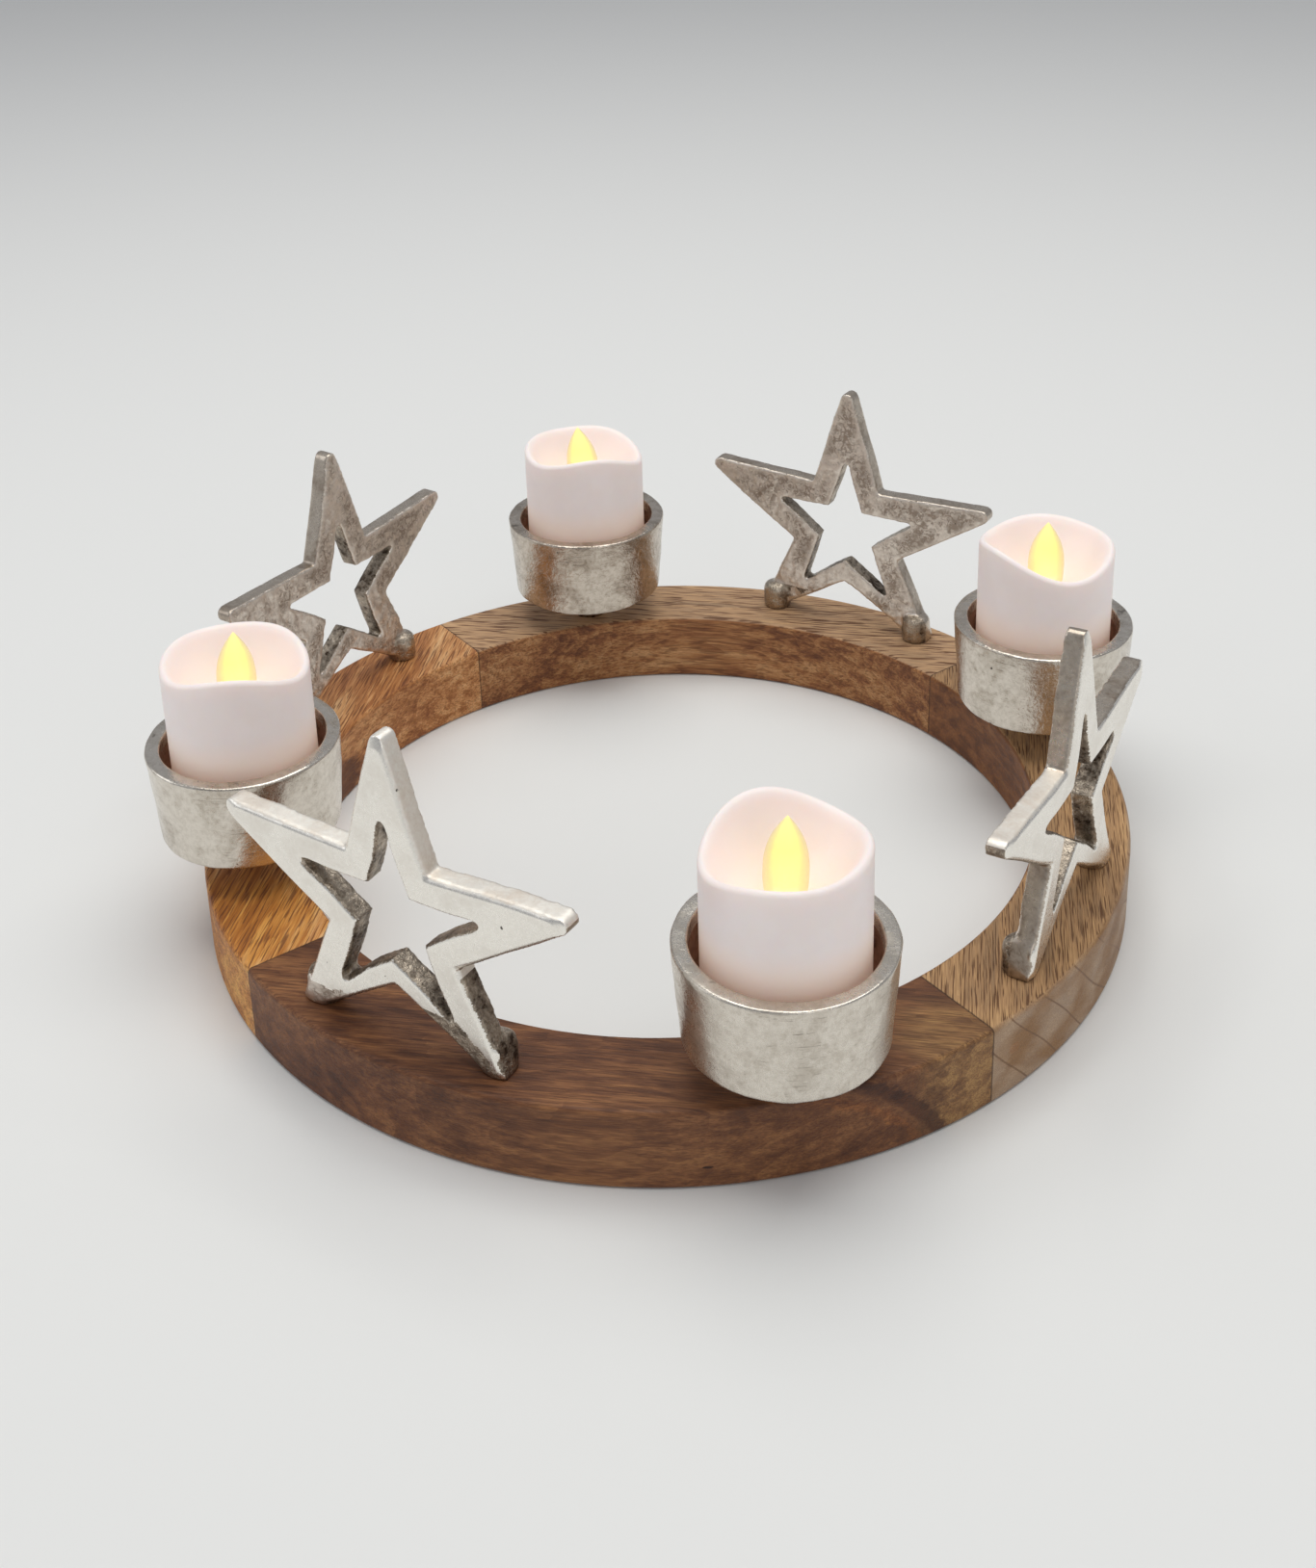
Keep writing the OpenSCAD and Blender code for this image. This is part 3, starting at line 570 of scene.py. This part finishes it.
# Cast cups, in millimetres from the top of the wood
STEM_H, STEM_R, STEM_FILLET = 10.0, 5.25, 2.0
CUP_H, CUP_RIM_R, CUP_MOUTH_R = 25.0, 25.0, 21.1
CUP_FOOT_R, CUP_WELL_R, CUP_SEAT = 23.2, 20.4, 15.2
CUP_EDGE, CUP_LIP = 1.2, 0.7
CUP_STEPS = 120

# A cup's unevenness: the size of its lumps, their depth, and a step of the seed
CUP_LUMPS = ((6.0, 0.14, 0), (16.0, 0.20, 9))

# Each cup's bright and dull colour, roughness, depth of its pebbles and dull share
CUP_SKINS = {"front_right": ((224, 217, 206), (158, 145, 128), 0.26, 0.08, 0.40),
             "back_right": ((222, 215, 204), (150, 136, 118), 0.17, 0.20, 0.50),
             "back_left": ((210, 200, 187), (136, 120, 102), 0.14, 0.22, 0.60),
             "front_left": ((224, 217, 206), (150, 136, 118), 0.19, 0.10, 0.45)}


def cup_section():
    """The cup and its stem cut in half, from the stem's foot round to the well's middle."""
    top = STEM_H + CUP_H
    foot_edge = arc(CUP_FOOT_R - CUP_EDGE, STEM_H + CUP_EDGE, CUP_EDGE, 270, 360, 6)
    rim_out = arc(CUP_RIM_R - CUP_LIP, top - CUP_LIP, CUP_LIP, 0, 90, 5)
    rim_in = arc(CUP_MOUTH_R + CUP_LIP, top - CUP_LIP, CUP_LIP, 90, 180, 5)
    well = arc(CUP_WELL_R - 1, CUP_SEAT + 1, 1, 360, 270, 4)
    fillet = arc(STEM_R + STEM_FILLET, STEM_H - STEM_FILLET, STEM_FILLET, 180, 90, 5)
    return ([(0, 0)] + line((STEM_R, 0), fillet[0], 5) + fillet[:-1] + line(fillet[-1], foot_edge[0], 8)
            + foot_edge[:-1] + line(foot_edge[-1], rim_out[0], 20) + rim_out[:-1]
            + line(rim_out[-1], rim_in[0], 3) + rim_in[:-1] + line(rim_in[-1], well[0], 14)
            + well[:-1] + line(well[-1], (0, CUP_SEAT), 6) + [(0, CUP_SEAT)])


def cast(bm, lump_mm, depth_mm, seed, keep_below):
    """Moves each point above keep_below along its normal by a soft noise, as a casting is uneven."""
    bm.normal_update()
    offset = Vector((seed * 7.3, seed * 3.1, seed * 5.7))
    moves = []
    for v in bm.verts:
        p = v.co / (lump_mm * MM)
        d = noise.noise(p + offset) + 0.5 * noise.noise(p * 2.3 + offset)
        fade = min(1.0, max(0.0, (v.co.z - keep_below) / (2 * MM)))
        moves.append(v.normal * (d * depth_mm * MM * fade))
    for v, move in zip(bm.verts, moves):
        v.co += move


def make_cup(corner, materials, seed):
    """A cup on its stem. The second material is its well's."""
    section = cup_section()
    bm = lathe(lambda t: section, CUP_STEPS, closed=False)
    for face in bm.faces:
        middle = face.calc_center_median()
        in_well = CUP_SEAT * 0.9 * MM < middle.z < (STEM_H + CUP_H - 1.5) * MM
        face.material_index = int(in_well and middle.xy.length < (CUP_MOUTH_R - 0.1) * MM)
    at_corner(bm, corner, RING_H)
    for lump, depth, step in CUP_LUMPS:
        cast(bm, lump, depth, seed + step, RING_H * MM)
    new_piece(f"cast_cup_{corner}", bm, "holder", f"cup_{corner}", materials)


# Stars: the casting's own mesh, made fine and uneven. All are in millimetres from the star's middle:
# u runs across the star and w up. Each star has its own pull on the points of its hole, and its own
# number of smoothing passes on its feet; a flat foot has its boss trimmed level with its flank
STAR_RISE, STAR_HOLE, STAR_STEP = 32.0, 24.0, math.radians(72)
VOXEL = 0.45
HOLE_TIP, TIP_LONG, TIP_HALF = 22.0, 4.2, 2.3
TIP_PULL = {"front": 2.8, "right": 2.2, "back": 1.0, "left": 1.2}
FLANK_AT, FLANK_SLOPE = (18.36, -5.96), 0.4286
FLAT_FOOT = {"front": 1, "right": -1}
FOOT_FROM, FOOT_TO, FOOT_FACE = 0.5, 14, 1.6
FEET_PASSES = {"front": 16, "right": 22, "back": 9, "left": 9}

# The sizes of the lumps, pocks, sways and bends of a star's skin
LUMP, POCK, FINE_POCK, SWAY, BEND = 7, 2.2, 1.2, 17, 26

# A star's materials by index, and where one gives way to another: its bosses, the upper edges of the front
# star, whose upward faces take a painted highlight, the near arm of the right star, whose upward faces take
# a painted highlight and whose end takes the dark hole metal as painted shade, and the dull boss and dark
# flank of the front feet
FACE, INWARD, EDGE, HOLE, LIT_TOP = range(5)
BOSS_TOP, BOSS_FACE = -23.0, -3.1
UPPER_EDGES_FROM = -8
ARM_AT, ARM_END = 12.0, 27.5
DULL_BOSS, DARK_FLANK = -25.0, -20.5
RIDGE_AT, RIDGE_SLOPE = (17.5, -21), 1.1
EDGE_REACH = 2.2


def tip_pull(u, w, most):
    """How far a point near one of the hole's five points moves outward, which draws that point longer."""
    angle = (math.atan2(w, u) - math.pi / 2) / STAR_STEP
    off = (angle - round(angle)) * STAR_STEP
    reach = math.hypot(u, w)
    return most * math.exp(-((reach - HOLE_TIP) / TIP_LONG) ** 2 - (off * reach / TIP_HALF) ** 2)


def flank(w):
    """How far from the middle a foot's outer wall stands at height w."""
    return FLANK_AT[0] + (FLANK_AT[1] - w) * FLANK_SLOPE


def in_hole(normal, u, w, across, reach):
    """Whether a wall at u, w looks at the star's middle from within reach of it."""
    return normal.dot(across) * u + normal.z * w < 0 and math.hypot(u, w) < reach


def fine_mesh(node):
    """The node's mesh remade of small even faces."""
    obj = bpy.data.objects.new("star_blank", node.data.copy())
    bpy.context.scene.collection.objects.link(obj)
    remesh = obj.modifiers.new("fine", "REMESH")
    remesh.mode = "VOXEL"
    remesh.voxel_size = VOXEL * MM
    graph = bpy.context.evaluated_depsgraph_get()
    fine = bpy.data.meshes.new_from_object(obj.evaluated_get(graph))
    bpy.data.objects.remove(obj)
    bm = bmesh.new()
    bm.from_mesh(fine)
    return bm


def soften(bm, side, middle, across, out):
    """Trims a flat foot's boss, and rounds the casting, its feet most."""
    feet = [v for v in bm.verts if FOOT_FROM < v.co.z / MM - RING_H < FOOT_TO
            and (v.co - middle).dot(out) < FOOT_FACE * MM]
    for v in feet:
        at = (v.co - middle) / MM
        over = at.dot(across) * FLAT_FOOT.get(side, 0) - flank(at.z) - 0.2
        if over > 0:
            v.co -= across * (FLAT_FOOT[side] * over * 0.85 * MM)
    for verts, passes in ((bm.verts, 2), (feet, FEET_PASSES[side])):
        for _ in range(passes):
            bmesh.ops.smooth_vert(bm, verts=verts, factor=0.5, use_axis_x=True, use_axis_y=True,
                                  use_axis_z=True)


def roughen(bm, side, middle, across, out, offset):
    """Makes the skin uneven, on its inward side and in its hole most, and bends the casting a little."""
    bm.normal_update()
    top = cad_box[1].z - 0.1 * MM
    moves = []
    for v in bm.verts:
        at = (v.co - middle) / MM
        u, w = at.dot(across), at.z
        facing = v.normal.dot(out)
        lift = min(1.0, max(0.0, (w + STAR_RISE) / 4))
        p = v.co / MM
        lumps = noise.noise(p / LUMP + offset)
        pocks = noise.noise(p / POCK + offset) + 0.6 * noise.noise(p / FINE_POCK + offset)
        rough = (0.01 if facing > 0.6 else 0.20 if facing < -0.6
                 else 0.14 if in_hole(v.normal, u, w, across, STAR_HOLE) else 0.02)
        soft = 0.03 if facing > 0.6 else 0.12
        sway = noise.noise(p / SWAY + offset) * 0.55
        bend = noise.noise(p / BEND + offset * 2) * 0.5
        pull = tip_pull(u, w, TIP_PULL[side]) / max(1.0, math.hypot(u, w))
        moves.append(v.normal * ((lumps * soft + pocks * rough) * lift * MM)
                     + (across * (sway * lift + pull * u) + out * (bend * lift)) * MM
                     + Vector((0, 0, pull * w * MM)))
    for v, move in zip(bm.verts, moves):
        v.co += move
        v.co.z = min(v.co.z, top)
    bm.normal_update()


def star_skin(side, normal, at, across, out, offset):
    """Which material a face has, from its normal and its place."""
    u, w = at.dot(across), at.z
    facing, up = normal.dot(out), normal.z
    skin = (FACE if facing > 0.72 else INWARD if facing < -0.5
            else HOLE if in_hole(normal, u, w, across, STAR_HOLE + 2) else EDGE)
    if w < BOSS_TOP and at.dot(out) < BOSS_FACE:
        skin = HOLE
    # On the front star, upward-facing upper edges take the bright metal as a painted highlight, and edges
    # below take the dark hole metal
    if side == "front" and skin == EDGE:
        skin = LIT_TOP if up > 0.15 and w > UPPER_EDGES_FROM else HOLE if w < UPPER_EDGES_FROM else EDGE
    if side == "front" and facing > 0.72:
        ragged = noise.noise(at / 2.5 + offset) * 1.2
        if u < 0 and w < DULL_BOSS + ragged:
            skin = INWARD
        if u > 0 and w < DARK_FLANK and u + ragged < RIDGE_AT[0] - (w - RIDGE_AT[1]) * RIDGE_SLOPE:
            skin = HOLE
    # On the right star's near arm, the end takes the dark hole metal as painted shade, and upward faces the
    # bright metal as a painted highlight
    if side == "right" and skin == EDGE and u < -ARM_AT and w > 0:
        skin = HOLE if u < -ARM_END and up < 0.5 else LIT_TOP if up > 0.6 else EDGE
    return skin


def edge_nearness(bm, out):
    """For each point 1 on the rim of a broad side, 0 from EDGE_REACH inward and on the walls."""
    flat = [v.co - out * v.co.dot(out) for v in bm.verts]
    walls = [co for v, co in zip(bm.verts, flat) if abs(v.normal.dot(out)) < 0.5]
    tree = kdtree.KDTree(len(walls))
    for k, co in enumerate(walls):
        tree.insert(co, k)
    tree.balance()
    return [max(0.0, 1 - tree.find(co)[2] / (EDGE_REACH * MM)) if abs(v.normal.dot(out)) > 0.7 else 0.0
            for v, co in zip(bm.verts, flat)]


def make_star(side, materials, seed):
    """A star. Its materials are in the order FACE, INWARD, EDGE, HOLE and LIT_TOP, the last a bright metal
    for a painted highlight.
    """
    a = math.radians(SIDES[side])
    out = Vector((math.cos(a), math.sin(a), 0))
    across = Vector((-math.sin(a), math.cos(a), 0))
    middle = Vector((0, 0, (RING_H + STAR_RISE) * MM)) + out * STAR_CIRCLE * MM
    offset = Vector((seed * 9.1, seed * 4.3, seed * 2.7))
    bm = fine_mesh(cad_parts[f"star_{side}"])
    soften(bm, side, middle, across, out)
    roughen(bm, side, middle, across, out, offset)
    for face in bm.faces:
        at = (face.calc_center_median() - middle) / MM
        face.material_index = star_skin(side, face.normal, at, across, out, offset)
    # The rims of the broad sides, where the metal is painted with a highlight
    near = edge_nearness(bm, out)
    obj = new_piece(f"cast_star_{side}", bm, "holder", f"star_{side}", materials)
    point_values(obj, "rim_highlight", near)


# Candles, in millimetres from the candle's own foot
CANDLE_FOOT = 36.5
CANDLE_R, CANDLE_H, SHELL_WALL, RIM_ROUND = 18.7, 42.8, 1.6, 1.2
BOWL_Z, BOWL_TOP_R, HOLE_R, BOWL_CURVE = 27.8, 16.5, 4.4, 1.6
FOOT_ROUND, LIP_DROP = 0.8, 0.75
SHELL_STEPS = 144

# The rim's swells: waves per turn, height and lead in degrees; and the azimuth of each candle's first
SWELLS = ((1, 1.3, -80), (2, 1.55, 0), (3, 1.0, 28))
SWELL_AT = {"front_right": 137, "back_right": 238, "back_left": -47, "front_left": -53}

# Where the diode's light shows, each from none to full: in the bowl by radius and by height, round the
# flame by radius, and in the body's upper and lower part by height
BOWL_LIT_R, BOWL_LIT_Z, FLAME_LIT_R = (17.9, 15.8), (20, 26), (16, 5)
UPPER_LIT_Z, LOWER_LIT_Z = (22, 40), (30, 19)


def rim_z(a):
    """The rim's height at a degrees from its first swell."""
    return CANDLE_H + sum(h * math.cos(math.radians(n * a - lead)) for n, h, lead in SWELLS)


def shell_section(a):
    """The shell cut at a degrees from its first swell."""
    top = rim_z(a)
    rim = arc(CANDLE_R - RIM_ROUND, top - RIM_ROUND, RIM_ROUND, 0, 90, 6)
    foot = arc(CANDLE_R - FOOT_ROUND, FOOT_ROUND, FOOT_ROUND, 270, 360, 4)
    lip = top - LIP_DROP

    def bowl(s):
        r = HOLE_R + (BOWL_TOP_R - HOLE_R) * s
        return r, BOWL_Z + (lip - BOWL_Z) * s ** BOWL_CURVE
    inside = [bowl(1 - i / 16) for i in range(17)]
    under = [(HOLE_R, BOWL_Z - SHELL_WALL), (bowl(0.5)[0], bowl(0.5)[1] - SHELL_WALL * 1.2)]
    wall = CANDLE_R - SHELL_WALL
    return (foot[:-1] + line(foot[-1], rim[0], 22) + rim + inside + under
            + [(wall, lip - SHELL_WALL * 2.2), (wall, 0)])


def make_shell(corner, material):
    """A candle's shell, with the glow and the blush that its wax reads."""
    swell = SWELL_AT[corner]
    bm = lathe(lambda t: shell_section(math.degrees(t) - swell), SHELL_STEPS)
    at_corner(bm, corner, CANDLE_FOOT)
    obj = new_piece(f"wax_shell_{corner}", bm, f"candle_{corner}",
                    f"candle_shell_{corner}", [material])
    centre = corner_point(corner)
    glow, blush = [], []
    for v in obj.data.vertices:
        away = v.co - centre
        r, z = away.xy.length / MM, v.co.z / MM - CANDLE_FOOT
        in_bowl = smooth(*BOWL_LIT_R, r) * smooth(*BOWL_LIT_Z, z)
        near = smooth(*FLAME_LIT_R, r)
        glow.append(in_bowl * (0.72 + 0.28 * near) + (1 - in_bowl) * 0.22 * smooth(*UPPER_LIT_Z, z))
        blush.append((1 - in_bowl) * smooth(*LOWER_LIT_Z, z))
    point_values(obj, "glow", glow)
    point_values(obj, "blush", blush)


# Flames, in millimetres from the bowl's foot; the flange counts from the candle's own. Each tip leans
# by a number of millimetres towards an azimuth
FLAME_H, FLAME_BELLY, FLAME_R, NECK_R, FLAME_WALL = 22.0, 8.0, 5.0, 4.15, 0.9
FLANGE_FOOT, FLANGE_TOP, FLANGE_W = 25.0, 26.1, 2.2
FLAME_STEPS, FLAME_ROWS = 48, 30
FLAME_LEAN = {"front_right": (0.5, 10), "back_right": (0.8, -60), "back_left": (1.6, 205),
              "front_left": (0.6, 30)}


def flame_radius(h):
    """The flame's radius at h above the bowl's foot."""
    if h < FLAME_BELLY:
        return NECK_R + (FLAME_R - NECK_R) * math.sin(math.pi / 2 * h / FLAME_BELLY)
    t = (h - FLAME_BELLY) / (FLAME_H - FLAME_BELLY)
    return FLAME_R * max(0.0, math.cos(math.pi / 2 * t ** 1.3)) ** 0.95


def make_flame(corner, material):
    """A candle's hollow flame on its flange, with the rise that its plastic reads."""
    heights = [FLAME_H * i / FLAME_ROWS for i in range(FLAME_ROWS)]
    inner = [h for h in heights if h < FLAME_H * 0.75]
    section = ([(NECK_R - FLAME_WALL, FLANGE_FOOT), (NECK_R + FLANGE_W, FLANGE_FOOT),
                (NECK_R + FLANGE_W, FLANGE_TOP), (NECK_R, FLANGE_TOP)]
               + [(flame_radius(h), BOWL_Z + h) for h in heights] + [(0, BOWL_Z + FLAME_H)]
               + [(0, BOWL_Z + inner[-1] + 1)]
               + [(max(0.6, flame_radius(h) - FLAME_WALL), BOWL_Z + h) for h in reversed(inner)])
    bm = lathe(lambda t: section, FLAME_STEPS)
    lean, towards = FLAME_LEAN[corner]
    towards = math.radians(towards)
    away = Vector((math.cos(towards), math.sin(towards), 0))
    for v in bm.verts:
        rise = max(0.0, (v.co.z / MM - BOWL_Z) / FLAME_H)
        v.co += away * (lean * MM * rise ** 1.7)
    at_corner(bm, corner, CANDLE_FOOT)
    obj = new_piece(f"flame_tip_{corner}", bm, f"candle_{corner}", f"flame_{corner}", [material])
    point_values(obj, "rise", [min(1.0, max(0.0, (v.co.z / MM - CANDLE_FOOT - BOWL_Z) / FLAME_H))
                               for v in obj.data.vertices])


def dress(nodes, material):
    """Gives CAD nodes their material."""
    for name in nodes:
        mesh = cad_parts[name].data
        mesh.materials.clear()
        mesh.materials.append(material)


make_camera()
make_stage()

# The woods. A patch has its centre, half sizes, colour factors and softness; a band its centre,
# radius, half width and colour factors
dress(["ring_segment_front"], wood(
    "wood_front", 22.5, ((78, 45, 27), (107, 66, 40), (131, 85, 52), (160, 110, 68)), (60, 36, 25),
    7.0, (62, 22), 1.0, 0.45, 1.2, 0.5,
    patches=(((112, -54, 10), (24, 17, 34), (1.38, 1.75, 1.7), 0.5),
             ((-20, -118, 8), (40, 20, 16), (0.80, 0.72, 0.70), 0.6),
             ((71.9, -102.3, 5.8), (2.6, 1.6, 0.5), (0.15, 0.12, 0.1), 0.2)),
    bands=(((83.0, -93.5, -20.5), 46.0, 2.4, (0.42, 0.36, 0.38)),
           ((83.0, -93.5, -20.5), 41.0, 1.6, (1.3, 1.2, 1.0)))))
# The right wood's outer wall takes a painted glare, and its top face a painted sheen
dress(["ring_segment_right"], wood(
    "wood_right", 112.5, ((104, 64, 32), (150, 102, 57), (180, 130, 78), (204, 158, 106)), (82, 50, 30),
    6.0, (40, 60), 2.0, 0.85, 0.15, wall_pores=0.25, wall_glare=0.8, sheen_top=(0.35, (214, 184, 142)),
    inner=(0.72, 0.60, 0.58),
    patches=(((118.0, -41.2, 12.1), (2.4, 2.4, 1.8), (1.6, 1.1, 0.55), 0.4),)))
# The back wood's top face takes a painted sheen
dress(["ring_segment_back"], wood(
    "wood_back", 22.5, ((92, 52, 28), (142, 90, 52), (178, 124, 76), (202, 154, 104)), (92, 56, 34),
    3.6, (-70, -14), 3.0, 0.85, 0.2, 1.3, dash_scale=1.7, sheen_top=(0.5, (228, 196, 156))))
dress(["ring_segment_left"], wood(
    "wood_left", 112.5, ((138, 82, 43), (183, 122, 70), (214, 157, 101), (234, 190, 138)), (100, 58, 34),
    5.0, (52, 40), 4.0, 0.75, 0.3, 1.2, dash_scale=2.0,
    patches=(((-97.8, -22.8, 5.0), (8, 14, 9), (0.34, 0.30, 0.30), 0.5),
             ((-64, -102, 12), (32, 28, 26), (1.10, 1.0, 0.55), 0.5))))

star_metals = [
    cast_metal("star_face", (247, 243, 235), (210, 200, 187), 0.28, 1.8, 0.02, 0.30, 2.0),
    cast_metal("star_inward", (232, 223, 212), (132, 113, 96), 0.36, 1.4, 0.12, 0.55, 3.0, marked=0.75),
    cast_metal("star_edge", (208, 197, 183), (126, 108, 92), 0.27, 1.6, 0.06, 0.60, 4.0, marked=0.25),
    cast_metal("star_hole", (196, 183, 166), (68, 55, 44), 0.27, 1.2, 0.30, 0.90, 6.0, marked=0.6),
    # The last metal is a painted highlight for upward-facing edges
    cast_metal("star_lit_top", (244, 240, 232), (206, 188, 170), 0.52, 1.8, 0.05, 0.45, 7.0)]
for index, side in enumerate(SIDES):
    make_star(side, star_metals, index + 1.0)
well_metal = cast_metal("cup_well", (170, 138, 118), (96, 70, 56), 0.42, 1.2, 0.15, 0.8, 9.0)
shell_wax, flame_amber = wax("candle_shell"), flame_plastic("flame")
for index, corner in enumerate(CORNERS):
    bright, dull, rough, pebble, share = CUP_SKINS[corner]
    outside = cast_metal(f"cup_{corner}", bright, dull, rough, 1.1, pebble, share, index + 5.0, 0.10, 0.8)
    make_cup(corner, [outside, well_metal], index + 1.0)
    make_shell(corner, shell_wax)
    make_flame(corner, flame_amber)

dress(["star_screws", "cup_screws"], plated("screw_steel", (176, 176, 178), 0.32))
for stem, material in (
        ("led", lens("led_lens")), ("candle_base", plastic("base_plastic", (232, 228, 216), 0.45)),
        ("battery_cover", plastic("cover_plastic", (240, 238, 230), 0.42)),
        ("coin_cell", plated("cell_steel", (200, 200, 202), 0.25)),
        ("positive_contact", plated("contact_metal", (206, 180, 116), 0.3)),
        ("negative_contact", plated("contact_leaf", (206, 180, 116), 0.3)),
        ("switch_slide", plastic("switch_plastic", (44, 44, 46), 0.4))):
    dress([f"{stem}_{corner}" for corner in CORNERS], material)
